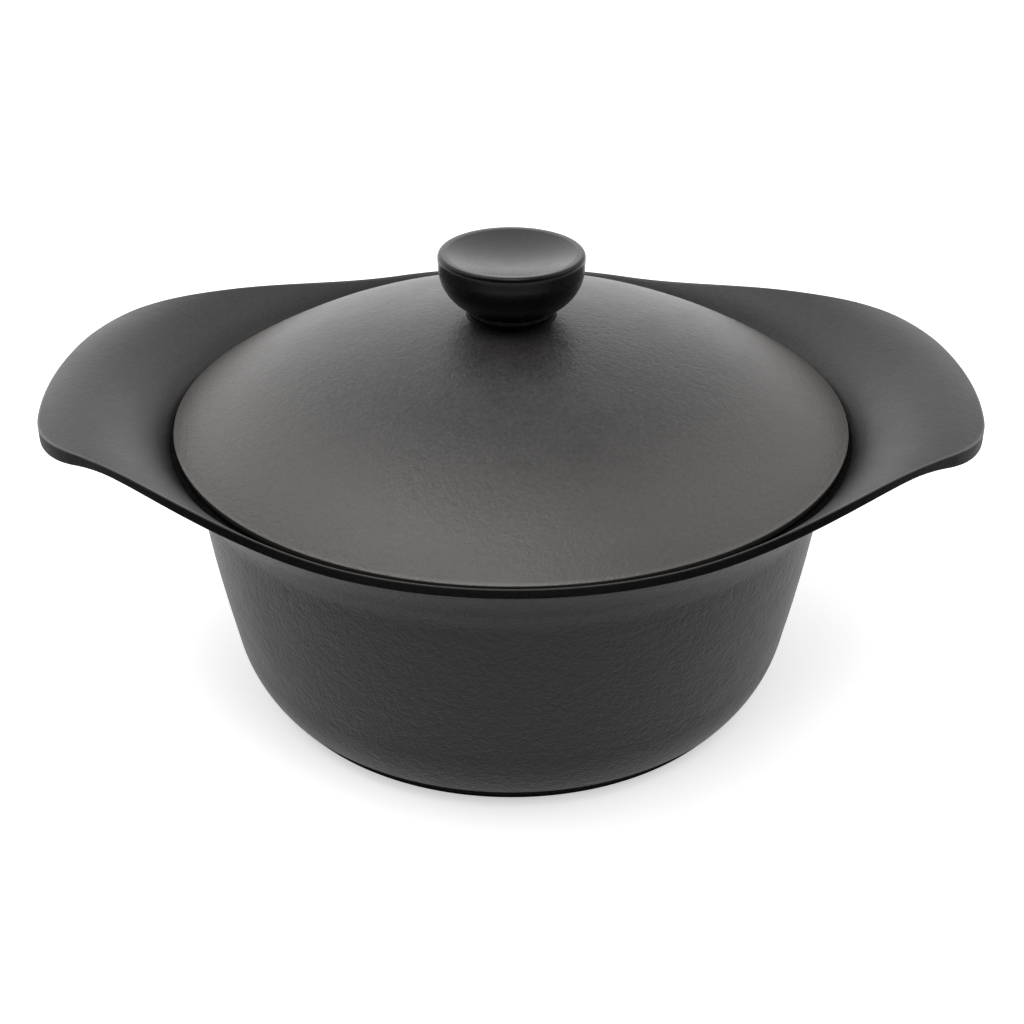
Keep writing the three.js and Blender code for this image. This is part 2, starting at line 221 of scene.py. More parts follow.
def finish_mesh(name, vertices, faces, body, node, materials):
    """Makes the object, shades it smooth, and puts it in the place of its CAD node."""
    mesh = bpy.data.meshes.new(name)
    mesh.from_pydata([Vector(v) * MM for v in vertices], [], faces)
    mesh.validate()
    mesh.polygons.foreach_set("use_smooth", [True] * len(mesh.polygons))
    piece = bpy.data.objects.new(name, mesh)
    bpy.context.scene.collection.objects.link(piece)
    for material in materials:
        mesh.materials.append(material)
    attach(piece, body)
    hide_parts(node)
    return piece


def sweep(section_at, segments):
    """Vertices and faces of a solid swept round Z. section_at(angle) gives its (r, z) outline,
    which starts and ends on the axis, or else closes on itself without repeating its first point."""
    sections = [section_at(2 * math.pi * i / segments) for i in range(segments)]
    count = len(sections[0])
    capped = sections[0][0][0] < 1e-6
    vertices, faces = [], []
    if capped:
        vertices = [(0, 0, sections[0][0][1]), (0, 0, sections[0][-1][1])]
    first, last = (1, count - 1) if capped else (0, count)
    rows = last - first
    base = len(vertices)
    for i, section in enumerate(sections):
        angle = 2 * math.pi * i / segments
        for r, z in section[first:last]:
            vertices.append((r * math.cos(angle), r * math.sin(angle), z))
    for i in range(segments):
        here = base + i * rows
        there = base + (i + 1) % segments * rows
        for j in range(rows - 1):
            faces.append((here + j, there + j, there + j + 1, here + j + 1))
        if capped:
            faces.append((0, there, here))
            faces.append((1, here + rows - 1, there + rows - 1))
        else:
            faces.append((here + rows - 1, there + rows - 1, there, here))
    return vertices, faces


def cast_waviness(vertices, depth, size, keep):
    """Sinks the surface by slow uneven amounts, as a sand mould leaves it. keep(vertex) is 0 where
    the surface stays exactly where it is."""
    moved = []
    for v in vertices:
        point = Vector(v)
        outward = Vector((point.x, point.y, 0.35 * point.z))
        share = 0.5 + 0.5 * noise.noise(point / size) + 0.2 * noise.noise(point / size * 2.7)
        share = min(max(share, 0.0), 1.0)
        moved.append(point - outward.normalized() * depth * share * keep(point))
    return moved


def set_attribute(piece, name, value_at):
    """A number on each vertex, for the material: value_at gets the vertex in millimetres."""
    mesh = piece.data
    values = [value_at(v.co / MM) for v in mesh.vertices]
    mesh.attributes.new(name, "FLOAT", "POINT").data.foreach_set("value", values)


# ---- materials -----------------------------------------------------------------------------------


class Graph:
    """A material's node tree, with short calls for the nodes used here."""

    def __init__(self, name, roughness, metallic=0.0, specular=0.5):
        self.material = bpy.data.materials.new(name)
        self.material.use_nodes = True
        self.tree = self.material.node_tree
        self.shader = self.tree.nodes["Principled BSDF"]
        self.shader.inputs["Metallic"].default_value = metallic
        self.shader.inputs["Roughness"].default_value = roughness
        self.shader.inputs["IOR"].default_value = 1.5
        self.shader.inputs["Specular IOR Level"].default_value = specular
        self.place = self.node("ShaderNodeTexCoord").outputs["Object"]

    def node(self, kind, **settings):
        made = self.tree.nodes.new(kind)
        for key, value in settings.items():
            setattr(made, key, value)
        return made

    def link(self, source, target):
        self.tree.links.new(source, target)

    def put(self, socket, value):
        """Links value to the socket if it is an output, and sets it if it is a number."""
        if isinstance(value, bpy.types.NodeSocket):
            self.link(value, socket)
        else:
            socket.default_value = value

    def noise(self, size_mm, detail=3.0, roughness=0.5):
        """A noise from 0 to 1 whose blotches are about size_mm across."""
        mapping = self.node("ShaderNodeMapping")
        mapping.inputs["Scale"].default_value = [1 / (size_mm * MM)] * 3
        self.link(self.place, mapping.inputs["Vector"])
        texture = self.node("ShaderNodeTexNoise")
        texture.inputs["Scale"].default_value = 1.0
        texture.inputs["Detail"].default_value = detail
        texture.inputs["Roughness"].default_value = roughness
        self.link(mapping.outputs["Vector"], texture.inputs["Vector"])
        return texture.outputs["Fac"]

    def remap(self, value, low, high, to_low=0.0, to_high=1.0):
        made = self.node("ShaderNodeMapRange", clamp=True)
        for key, number in (("Value", value), ("From Min", low), ("From Max", high),
                            ("To Min", to_low), ("To Max", to_high)):
            self.put(made.inputs[key], number)
        return made.outputs["Result"]

    def math(self, operation, a, b):
        made = self.node("ShaderNodeMath", operation=operation)
        self.put(made.inputs[0], a)
        self.put(made.inputs[1], b)
        return made.outputs["Value"]

    def mix(self, share, a, b):
        made = self.node("ShaderNodeMix", data_type="RGBA")
        self.put(made.inputs["Factor"], share)
        self.put(made.inputs["A"], a if not isinstance(a, tuple) else (*a, 1.0))
        self.put(made.inputs["B"], b if not isinstance(b, tuple) else (*b, 1.0))
        return made.outputs["Result"]

    def attribute(self, name):
        return self.node("ShaderNodeAttribute", attribute_name=name).outputs["Fac"]

    def bump(self, height, depth_mm, strength=1.0, under=None):
        made = self.node("ShaderNodeBump")
        made.inputs["Distance"].default_value = depth_mm * MM
        self.put(made.inputs["Strength"], strength)
        self.link(height, made.inputs["Height"])
        if under is not None:
            self.link(under, made.inputs["Normal"])
        return made.outputs["Normal"]

    def finish(self, colour, roughness, normal):
        self.link(colour, self.shader.inputs["Base Color"])
        self.link(roughness, self.shader.inputs["Roughness"])
        self.link(normal, self.shader.inputs["Normal"])
        return self.material


# painted highlight: the lighter brown the lid's coat takes towards its edge
PAINTED_HIGHLIGHT_COAT = (0.1, 0.088, 0.081)
# wear and a painted highlight: the pale line along the rim's corner and the lid's edge
WORN_AND_HIGHLIGHT_COAT = (0.11, 0.107, 0.103)
RUBBED_RESIN = (0.045, 0.0445, 0.044)


def cast_iron(name, dark, light, roughness, specular, grain_depth, grain_mm, pit_depth):
    """Sand-cast iron under a baked-on coat. The vertex number "wear" is 1 on the edges that hands
    and cloths have rubbed, where the coat is thinner, paler and smoother; that pale edge is also a
    painted highlight. A second vertex number is 1 where a painted highlight makes the coat lighter
    and a little brown."""
    graph = Graph(name, roughness, specular=specular)
    wear = graph.attribute("wear")
    painted_highlight = graph.attribute("painted_highlight")
    cloud = graph.noise(34, detail=3, roughness=0.55)
    blotch = graph.noise(8, detail=3, roughness=0.6)
    speck = graph.noise(grain_mm * 1.3, detail=2, roughness=0.6)
    tone = graph.math("ADD", graph.remap(cloud, 0.3, 0.7, 0.0, 0.35),
                      graph.remap(blotch, 0.3, 0.7, 0.0, 0.3))
    tone = graph.math("ADD", tone, graph.remap(speck, 0.3, 0.7, -0.3, 0.7))
    colour = graph.mix(tone, dark, light)
    # painted highlight towards the lid's edge
    colour = graph.mix(graph.math("MULTIPLY", painted_highlight, 0.45), colour, PAINTED_HIGHLIGHT_COAT)
    # worn edges, partly a painted highlight
    colour = graph.mix(graph.math("MULTIPLY", wear, 0.6), colour, WORN_AND_HIGHLIGHT_COAT)
    shine = graph.math("ADD", graph.remap(cloud, 0.3, 0.7, -0.025, 0.025),
                       graph.remap(blotch, 0.3, 0.7, -0.02, 0.02))
    shine = graph.math("ADD", shine, graph.math("MULTIPLY", wear, -0.12))
    skin = graph.math("ADD", shine, roughness)
    peel = graph.bump(graph.noise(grain_mm * 2.6, detail=2, roughness=0.5), grain_depth * 0.9)
    sand = graph.bump(graph.noise(grain_mm, detail=2, roughness=0.6), grain_depth, 1.0, peel)
    pits = graph.remap(graph.noise(grain_mm * 1.9, detail=1, roughness=0.4), 0.26, 0.36)
    normal = graph.bump(pits, pit_depth, 1.0, sand)
    return graph.finish(colour, skin, normal)


def moulded_resin(name, dark, light):
    """Black resin with a satin skin. The vertex number "wear" is 1 where hands have greyed it."""
    graph = Graph(name, 0.27, specular=0.19)
    wear = graph.attribute("wear")
    cloud = graph.noise(9, detail=3)
    colour = graph.mix(graph.remap(cloud, 0.3, 0.7), dark, light)
    colour = graph.mix(wear, colour, RUBBED_RESIN)
    skin = graph.remap(graph.noise(5, detail=4, roughness=0.6), 0.3, 0.7, 0.25, 0.3)
    normal = graph.bump(graph.noise(0.6, detail=2), 0.012, 1.0)
    return graph.finish(colour, skin, normal)


def turned_metal(name, dark, light, roughness, groove_mm):
    """Metal with fine turning marks round Z."""
    graph = Graph(name, roughness, metallic=1.0)
    rings = graph.node("ShaderNodeTexWave", wave_type="RINGS", rings_direction="Z")
    rings.inputs["Scale"].default_value = 1 / (groove_mm * MM) / 3.2
    rings.inputs["Distortion"].default_value = 0.6
    graph.link(graph.place, rings.inputs["Vector"])
    cloud = graph.noise(2.5, detail=4)
    colour = graph.mix(graph.remap(cloud, 0.3, 0.7), dark, light)
    rough = graph.remap(graph.noise(1.2, detail=3), 0.3, 0.7, roughness - 0.06, roughness + 0.08)
    normal = graph.bump(rings.outputs["Fac"], 0.01, 0.5)
    return graph.finish(colour, rough, normal)


# painted shade: the wall's coat is much darker and less glossy than the wings of the same casting
WALL_SHADE_IRON = cast_iron(
    "wall_shade_iron", dark=(0.0018, 0.0017, 0.0016), light=(0.0064, 0.0061, 0.0058),
    roughness=0.42, specular=0.22, grain_depth=0.36, grain_mm=1.0, pit_depth=0.06)
WING_IRON = cast_iron(
    "wing_iron", dark=(0.014, 0.0131, 0.0126), light=(0.023, 0.0217, 0.0209),
    roughness=0.45, specular=0.41, grain_depth=0.07, grain_mm=1.2, pit_depth=0.02)
# painted shade: near-black and almost without reflection, on the rim's outer edge and on the lid's
# boss under the knob
RIM_AND_BOSS_SHADE_IRON = cast_iron(
    "rim_and_boss_shade_iron", dark=(0.001, 0.001, 0.001), light=(0.003, 0.003, 0.003),
    roughness=0.5, specular=0.05, grain_depth=0.1, grain_mm=0.8, pit_depth=0.03)
# painted shade: near-black with no reflection, for the shade at the foot and in the gap round the lid
FOOT_AND_GAP_SHADE_IRON = cast_iron(
    "foot_and_gap_shade_iron", dark=(0.004, 0.0039, 0.0038), light=(0.011, 0.0107, 0.0104),
    roughness=0.6, specular=0.0, grain_depth=0.1, grain_mm=1.1, pit_depth=0.03)
LID_IRON = cast_iron(
    "lid_iron", dark=(0.014, 0.0131, 0.0127), light=(0.036, 0.0338, 0.0327),
    roughness=0.41, specular=0.55, grain_depth=0.14, grain_mm=1.0, pit_depth=0.04)
FOOT_IRON = turned_metal("foot_iron", (0.05, 0.048, 0.046), (0.09, 0.087, 0.083), 0.5, 0.4)
RESIN = moulded_resin("knob_resin", (0.0018, 0.0019, 0.0021), (0.003, 0.0031, 0.0034))
DARK_STEEL = turned_metal("dark_steel", (0.012, 0.012, 0.012), (0.025, 0.025, 0.024), 0.55, 0.3)
STEEL = turned_metal("fastener_steel", (0.42, 0.42, 0.425), (0.58, 0.58, 0.585), 0.28, 0.25)
BRASS = turned_metal("insert_brass", (0.55, 0.38, 0.14), (0.68, 0.49, 0.21), 0.3, 0.25)

# ---- pot -----------------------------------------------------------------------------------------

FLARE_CENTRE_HEIGHT = FLARE_CREST_HEIGHT - FLARE_ARC_RADIUS


def flare_top(r):
    return FLARE_CENTRE_HEIGHT + math.sqrt(FLARE_ARC_RADIUS ** 2 - (FLARE_CREST_RADIUS - r) ** 2)


def flare_underside(r):
    share = (r - TIP_THICKENING_START) / (TIP_THICKENING_END - TIP_THICKENING_START)
    reach = FLARE_ARC_RADIUS - RIM_THICKNESS
    arc_height = math.sqrt(reach ** 2 - (FLARE_CREST_RADIUS - r) ** 2)
    return FLARE_CENTRE_HEIGHT + arc_height - TIP_THICKENING * smoothstep(share)


def unit(angle):
    return Vector((math.cos(angle), math.sin(angle)))


def angle_of(point):
    return math.atan2(point.y, point.x)


def ray_to_circle(direction, centre, radius):
    """Distance from the axis to a circle round centre, along a ray that leaves the circle."""
    reach = centre.dot(direction)
    return reach + math.sqrt(radius ** 2 - centre.length_squared + reach ** 2)


SIDE_NORMAL = unit(WING_SIDE_ANGLE)
SIDE_DIRECTION = Vector((SIDE_NORMAL.y, -SIDE_NORMAL.x))
BLEND_OFFSET = BLEND_ARC_RADIUS - RIM_RADIUS
BLEND_END_ANGLE = WING_SIDE_ANGLE + math.acos((BLEND_ARC_RADIUS - WING_SIDE_DISTANCE) / BLEND_OFFSET)
BLEND_CENTRE = unit(BLEND_END_ANGLE) * -BLEND_OFFSET
BLEND_START_ANGLE = angle_of(BLEND_CENTRE + SIDE_NORMAL * BLEND_ARC_RADIUS)
CORNER_OFFSET = WING_SIDE_DISTANCE - WING_CORNER_RADIUS
CORNER_ALONG = math.sqrt((WING_END_RADIUS - WING_CORNER_RADIUS) ** 2 - CORNER_OFFSET ** 2)
CORNER_CENTRE = SIDE_NORMAL * CORNER_OFFSET + SIDE_DIRECTION * CORNER_ALONG
CORNER_START_ANGLE = angle_of(SIDE_NORMAL * WING_SIDE_DISTANCE + SIDE_DIRECTION * CORNER_ALONG)


def rim_radius(angle):
    """Distance from the axis to the edge of the rim: circle, blend, side, corner, wing end."""
    quarter = math.atan2(abs(math.sin(angle)), abs(math.cos(angle)))
    direction = unit(quarter)
    if quarter > BLEND_END_ANGLE:
        return RIM_RADIUS
    if quarter > BLEND_START_ANGLE:
        return ray_to_circle(direction, BLEND_CENTRE, BLEND_ARC_RADIUS)
    if quarter > CORNER_START_ANGLE:
        return WING_SIDE_DISTANCE / direction.dot(SIDE_NORMAL)
    if quarter > angle_of(CORNER_CENTRE):
        return ray_to_circle(direction, CORNER_CENTRE, WING_CORNER_RADIUS)
    return WING_END_RADIUS


def upper_corner(rim):
    """Distance from the axis to the upper corner of the rim's edge, which is square to the flare."""
    across = max(FLARE_CREST_RADIUS - rim, 0.0)
    return rim - across * RIM_THICKNESS / (FLARE_ARC_RADIUS - RIM_THICKNESS)


def pot_section(angle):
    """From the middle of the foot out and up the wall, over the rim, and down inside."""
    rim = rim_radius(angle)
    lip = upper_corner(rim)
    corner_inside = (CORNER_TOP[0] - WALL_THICKNESS, CORNER_TOP[1])
    wall_inside = (WALL_TOP[0] - WALL_THICKNESS, WALL_TOP[1])
    outline = [(0, 0, 0), (40, 0, 0), (FOOT_RADIUS - 5, 0, 0)]
    outline += [(FOOT_RADIUS, 0, FOOT_EDGE_FILLET), (FOOT_RADIUS, FOOT_HEIGHT, 0.5)]
    outline += [(BODY_BASE_RADIUS - 0.4, FOOT_HEIGHT, 0.4)]
    outline += arc((BODY_BASE_RADIUS, FOOT_HEIGHT + 0.35), CORNER_TOP, CORNER_BULGE, 14)
    outline += arc(CORNER_TOP, WALL_TOP, WALL_BULGE, 24)[1:]
    outline += arc(WALL_TOP, CONE_FOOT, -FILLET_BULGE, 10)[1:]
    outline += along(UNDERSIDE_ARC_START, rim - 1.2, flare_underside, 24)
    below = (rim, flare_underside(rim))
    above = (lip, flare_top(lip))
    share = 1.0 - PALE_LINE_WIDTH / math.dist(below, above)
    pale_line_start = [a + (b - a) * share for a, b in zip(below, above)]
    outline += [(*below, RIM_LOWER_FILLET), (*pale_line_start, 0), (*above, RIM_UPPER_FILLET)]
    outline += along(lip - 0.9, FLARE_ARC_START, flare_top, 34)
    outline += [(LEDGE_OUTER_RADIUS, LEDGE_HEIGHT, 0.6), (LEDGE_INNER_RADIUS, LEDGE_HEIGHT, 0.8)]
    outline += arc(wall_inside, corner_inside, -WALL_BULGE, 20)
    outline += arc(corner_inside, (FLOOR_RADIUS, FLOOR_THICKNESS), -INNER_CORNER_BULGE, 16)[1:]
    outline += [(48, FLOOR_THICKNESS, 0), (24, FLOOR_THICKNESS, 0), (0, FLOOR_THICKNESS, 0)]
    return filleted(outline)


def pot_wave_share(point):
    """Waviness is on the wall only: it fades out at the foot and below the ledge."""
    r = math.hypot(point.x, point.y)
    wall = smoothstep((point.z - 6) / 14) * smoothstep((86 - point.z) / 10)
    return wall if r < LEDGE_OUTER_RADIUS else 0.0


POT_MATERIALS = [WALL_SHADE_IRON, FOOT_IRON, WING_IRON, RIM_AND_BOSS_SHADE_IRON, FOOT_AND_GAP_SHADE_IRON]


def pot_material(polygon):
    """Which of POT_MATERIALS a face has: the wall, darkened as painted shade; the ground underside of
    the foot; the flare and wings; the rim's outer edge, near-black as painted shade; painted shade on
    the side of the foot and on the ledge for the lid."""
    centre = polygon.center / MM
    r = math.hypot(centre.x, centre.y)
    if centre.z < 0.1 and polygon.normal.z < -0.99:
        return 1
    # painted shade: the foot's side and the wall just above it are near-black
    if centre.z < PAINTED_SHADE_BAND_HEIGHT and r > FOOT_RADIUS - 2:
        return 4
    # painted shade: the ledge under the lid's edge is near-black
    if centre.z > LEDGE_HEIGHT - 0.5 and LEDGE_INNER_RADIUS < r < LEDGE_OUTER_RADIUS + 0.3:
        return 4
    if centre.z < LEDGE_HEIGHT - 0.5 or r < LEDGE_OUTER_RADIUS - 0.8:
        return 0
    outward = (polygon.normal.x * centre.x + polygon.normal.y * centre.y) / r
    rise = min(max(FLARE_CREST_RADIUS - r, 0.0) / FLARE_ARC_RADIUS, 1.0)
    run = math.sqrt(1 - rise ** 2)
    # painted shade: the rim's outer edge is near-black
    if r > RIM_RADIUS - 4 and outward * run + polygon.normal.z * rise > 0.85:
        return 3
    return 2 if polygon.normal.z * run - outward * rise > 0.3 else 0


def make_pot():
    vertices, faces = sweep(pot_section, 384)
    vertices = cast_waviness(vertices, 0.22, 26.0, pot_wave_share)
    piece = finish_mesh("pot_casting", vertices, faces, "pot", "pot_body",
                        POT_MATERIALS)

    def wear(point):
        """Along the upper corner of the rim's edge: wear and a painted highlight."""
        r = math.hypot(point.x, point.y)
        lip = upper_corner(rim_radius(math.atan2(point.y, point.x)))
        away = math.hypot(r - lip, point.z - flare_top(lip))
        return 1.0 - smoothstep((away - 0.15) / (PALE_LINE_WIDTH - 0.2))

    set_attribute(piece, "wear", wear)
    for polygon in piece.data.polygons:
        polygon.material_index = pot_material(polygon)
    return piece


# ---- lid -----------------------------------------------------------------------------------------

DOME_CENTRE_HEIGHT = LID_APEX_HEIGHT - LID_DOME_RADIUS


def dome_top(r):
    return DOME_CENTRE_HEIGHT + math.sqrt(LID_DOME_RADIUS ** 2 - r ** 2)


def dome_inside(r):
    return DOME_CENTRE_HEIGHT + math.sqrt((LID_DOME_RADIUS - LID_THICKNESS) ** 2 - r ** 2)


def lid_section(_angle):
    seat = LID_LOW.z
    outline = [(SCREW_HOLE_RADIUS, INNER_BOSS_HEIGHT, 0)]
    outline += [(INNER_BOSS_RADIUS, INNER_BOSS_HEIGHT, 0.5)]
    outline += [(INNER_BOSS_RADIUS + 0.8, dome_inside(INNER_BOSS_RADIUS + 0.8), 0.5)]
    outline += along(INNER_BOSS_RADIUS + 2, LID_SEAT_FILLET_RADIUS, dome_inside, 48)
    outline += [(LID_SEAT_INNER_RADIUS, seat, 0.8), (LID_RADIUS - LID_DRAFT, seat, 0.6)]
    outline += [(LID_RADIUS, dome_top(LID_RADIUS), 0.35)]
    outline += along(LID_RADIUS - 1.2, BOSS_RADIUS + 2.2, dome_top, 64)
    outline += [(BOSS_RADIUS + 0.5, dome_top(BOSS_RADIUS + 0.5), 0.6)]
    outline += [(BOSS_RADIUS, LID_HIGH.z, 0.45)]
    outline += [(SCREW_HOLE_RADIUS + 4, LID_HIGH.z, 0), (SCREW_HOLE_RADIUS, LID_HIGH.z, 0)]
    return filleted(outline)


def lid_wave_share(point):
    """Waviness fades out at the boss and at the lid's edge."""
    r = math.hypot(point.x, point.y)
    return smoothstep((r - 16) / 16) * smoothstep((106 - r) / 10)


def make_lid():
    vertices, faces = sweep(lid_section, 320)
    vertices = cast_waviness(vertices, 0.16, 24.0, lid_wave_share)
    piece = finish_mesh("lid_casting", vertices, faces, "lid", "lid",
                        [LID_IRON, RIM_AND_BOSS_SHADE_IRON, FOOT_AND_GAP_SHADE_IRON])

    def wear(point):
        """Along the lid's upper edge: wear and a painted highlight."""
        r = math.hypot(point.x, point.y)
        rim = math.hypot(r - LID_RADIUS, point.z - dome_top(LID_RADIUS))
        return 1.0 - smoothstep((rim - 0.2) / 0.9)

    def painted_highlight(point):
        """A painted highlight, lighter and browner over the outer part of the dome."""
        r = math.hypot(point.x, point.y)
        if point.z < dome_inside(min(r, LID_RADIUS)) + 1:
            return 0.0
        return smoothstep((r - PAINTED_HIGHLIGHT_START_RADIUS) / (PAINTED_HIGHLIGHT_FULL_RADIUS - PAINTED_HIGHLIGHT_START_RADIUS))

    set_attribute(piece, "wear", wear)
    set_attribute(piece, "painted_highlight", painted_highlight)
    for polygon in piece.data.polygons:
        centre = polygon.center / MM
        r = math.hypot(centre.x, centre.y)
        # painted shade: the boss under the knob gets near-black iron
        on_boss = r < BOSS_RADIUS + 0.6 and centre.z > LID_HIGH.z - BOSS_DEPTH
        # painted shade: the lid's side, down in the gap, gets near-black iron
        on_side = r > LID_RADIUS - LID_DRAFT - 0.1 and centre.z < dome_top(LID_RADIUS) - 0.3
        polygon.material_index = 1 if on_boss else 2 if on_side else 0
    return piece


# ---- knob and what holds it ----------------------------------------------------------------------


def knob_section(_angle):
    base = KNOB_LOW.z
    top = KNOB_HIGH.z
    bowl_axis = KNOB_BOWL_TOP_RADIUS - KNOB_BOWL_RADIUS
    lowest = math.asin((KNOB_BOWL_TOP_HEIGHT - base) / KNOB_BOWL_RADIUS)
    pocket = INSERT_HIGH.x + POCKET_CLEARANCE
    pocket_top = INSERT_HIGH.z + POCKET_CLEARANCE
    outline = [(0, pocket_top, 0), (pocket, pocket_top, 0), (pocket, base, 0)]
    for i in range(BOWL_STEPS + 1):
        angle = lowest * (1 - i / BOWL_STEPS)
        outline.append((bowl_axis + KNOB_BOWL_RADIUS * math.cos(angle),
                        KNOB_BOWL_TOP_HEIGHT - KNOB_BOWL_RADIUS * math.sin(angle),
                        0.5 if i == 0 else 0))
    side_run = KNOB_RADIUS - KNOB_BOWL_TOP_RADIUS
    side_rise = KNOB_SHOULDER_HEIGHT - KNOB_BOWL_TOP_HEIGHT
    for i in range(1, SIDE_STEPS):
        share = i / SIDE_STEPS
        outline.append((KNOB_BOWL_TOP_RADIUS + side_run * share,
                        KNOB_BOWL_TOP_HEIGHT + side_rise * share, 0))
    for i in range(SHOULDER_STEPS + 1):
        angle = math.pi / 2 * i / SHOULDER_STEPS
        outline.append((KNOB_RADIUS - KNOB_SHOULDER_WIDTH * (1 - math.cos(angle)),
                        KNOB_SHOULDER_HEIGHT + (top - KNOB_SHOULDER_HEIGHT) * math.sin(angle), 0))

    def dish(r):
        return top - KNOB_DISH_DROP - KNOB_DISH_DEPTH * (1 - (r / KNOB_DISH_RADIUS) ** 2)

    outline += [(KNOB_DISH_RADIUS + 0.7, top - 0.03, 0)]
    outline += [(KNOB_DISH_RADIUS, dish(KNOB_DISH_RADIUS), 0.35)]
    outline += along(KNOB_DISH_RADIUS - 0.6, 0, dish, 24)
    return filleted(outline)


def make_knob():
    vertices, faces = sweep(knob_section, 160)
    piece = finish_mesh("resin_knob", vertices, faces, "lid", "lid_knob", [RESIN])

    def wear(point):
        """All over the dish and the land round it, where fingers rest."""
        above = point.z - KNOB_HIGH.z + KNOB_DISH_DEPTH + 1
        inside = KNOB_RADIUS - 0.6 * KNOB_SHOULDER_WIDTH - math.hypot(point.x, point.y)
        return smoothstep(above) * smoothstep(inside / 0.5)

    set_attribute(piece, "wear", wear)
    return piece


def ring_section(bore, low, high, radius, fillet):
    return filleted([(bore, low, 0), ((bore + radius) / 2, low, 0), (radius, low, fillet),
                     (radius, high, fillet), ((bore + radius) / 2, high, 0), (bore, high, 0)])


def make_ring(name, bore, low, high, fillet, body, node, material):
    vertices, faces = sweep(lambda _angle: ring_section(bore, low.z, high.z, high.x, fillet), 96)
    return finish_mesh(name, vertices, faces, body, node, [material])


def make_insert():
    """A brass insert with a knurled outside and a waist that the resin grips."""
    bore = WASHER_BORE_RADIUS
    length = INSERT_HIGH.z - INSERT_LOW.z

    def section(angle):
        knurl = INSERT_HIGH.x - 0.25 * (0.5 + 0.5 * math.cos(KNURL_TEETH * angle))
        waist = INSERT_HIGH.x - 0.5
        low, high = INSERT_LOW.z, INSERT_HIGH.z
        third = length / 3
        return [(bore, low), (knurl, low), (knurl, low + third), (waist, low + third + 0.5),
                (waist, high - third - 0.5), (knurl, high - third), (knurl, high), (bore, high)]

    vertices, faces = sweep(section, KNURL_TEETH * 8)
    return finish_mesh("brass_insert", vertices, faces, "lid", "knob_insert", [BRASS])


def make_spring_washer():
    """A split ring of square wire, wound as one turn of a helix, with cut ends."""
    bore, outer = WASHER_BORE_RADIUS, SPRING_HIGH.x
    height = SPRING_HIGH.z - SPRING_LOW.z
    rise = 0.35
    thickness = height - rise
    split = math.radians(14)
    turns = 72
    bevel = 0.12
    vertices, faces = [], []
    shape = [(bore, bevel), (bore + bevel, 0), (outer - bevel, 0), (outer, bevel),
             (outer, thickness - bevel), (outer - bevel, thickness), (bore + bevel, thickness),
             (bore, thickness - bevel)]
    count = len(shape)
    for i in range(turns + 1):
        share = i / turns
        angle = split / 2 + (2 * math.pi - split) * share
        for r, z in shape:
            height_here = SPRING_LOW.z + z + rise * share
            vertices.append((r * math.cos(angle), r * math.sin(angle), height_here))
    for i in range(turns):
        for j in range(count):
            k = (j + 1) % count
            here, there = i * count, (i + 1) * count
            faces.append((here + j, there + j, there + k, here + k))
    faces.append(tuple(range(count)))
    faces.append(tuple(reversed(range(turns * count, (turns + 1) * count))))
    return finish_mesh("split_washer", vertices, faces, "lid_fastening",
                       "spring_washer", [STEEL])


def cutter(width, span, depth, low):
    """A tapered bar that cuts one arm of the screw's cross recess."""
    top = 0.55
    vertices = []
    for z, share in ((low - depth, 1.0 + (1 - top)), (low + depth, top)):
        half_span, half_width = span / 2 * share, width / 2 * share
        vertices += [(-half_span, -half_width, z), (half_span, -half_width, z),
                     (half_span, half_width, z), (-half_span, half_width, z)]
    faces = [(3, 2, 1, 0), (4, 5, 6, 7), (0, 1, 5, 4), (1, 2, 6, 5), (2, 3, 7, 6), (3, 0, 4, 7)]
    mesh = bpy.data.meshes.new("cutter")
    mesh.from_pydata([Vector(v) * MM for v in vertices], [], faces)
    made = bpy.data.objects.new("cutter", mesh)
    bpy.context.scene.collection.objects.link(made)
    return made


def make_screw():
    """A pan head screw with a cross recess and a rolled thread."""
    radius = THREAD_RADIUS
    head_radius = SCREW_HIGH.x
    low = SCREW_LOW.z
    head_top = low + SCREW_HEAD_HEIGHT

    def section(angle):
        outline = [(0, low, 0), (head_radius - 2.4, low, 0), (head_radius - 1.2, low + 0.25, 1.0)]
        outline += [(head_radius, low + 1.5, 0.8), (head_radius, head_top, 0.3)]
        outline += [(radius + 0.3, head_top, 0), (radius, head_top + 0.4, 0)]
        start, stop = head_top + 1.2, SCREW_HIGH.z - 0.9
        steps = int((stop - start) / (THREAD_PITCH / 4))
        for i in range(steps + 1):
            z = start + (stop - start) * i / steps
            phase = 2 * math.pi * z / THREAD_PITCH - angle
            outline.append((radius - THREAD_DEPTH * (0.5 + 0.5 * math.cos(phase)), z, 0))
        outline += [(radius - 0.7, SCREW_HIGH.z, 0), (0, SCREW_HIGH.z, 0)]
        return filleted(outline)

    vertices, faces = sweep(section, 64)
    piece = finish_mesh("cross_head_screw", vertices, faces, "lid_fastening",
                        "knob_screw", [STEEL])
    for turn in (0.0, math.pi / 2):
        bar = cutter(1.25, 5.2, 2.0, low)
        bar.matrix_world = Matrix.Rotation(turn, 4, "Z")
        bpy.context.view_layer.update()
        modifier = piece.modifiers.new("recess", "BOOLEAN")
        modifier.operation = "DIFFERENCE"
        modifier.object = bar
        modifier.solver = "EXACT"
        with bpy.context.temp_override(object=piece, active_object=piece):
            bpy.ops.object.modifier_apply(modifier=modifier.name)
        bpy.data.objects.remove(bar)
    return piece


make_pot()
make_lid()
make_knob()
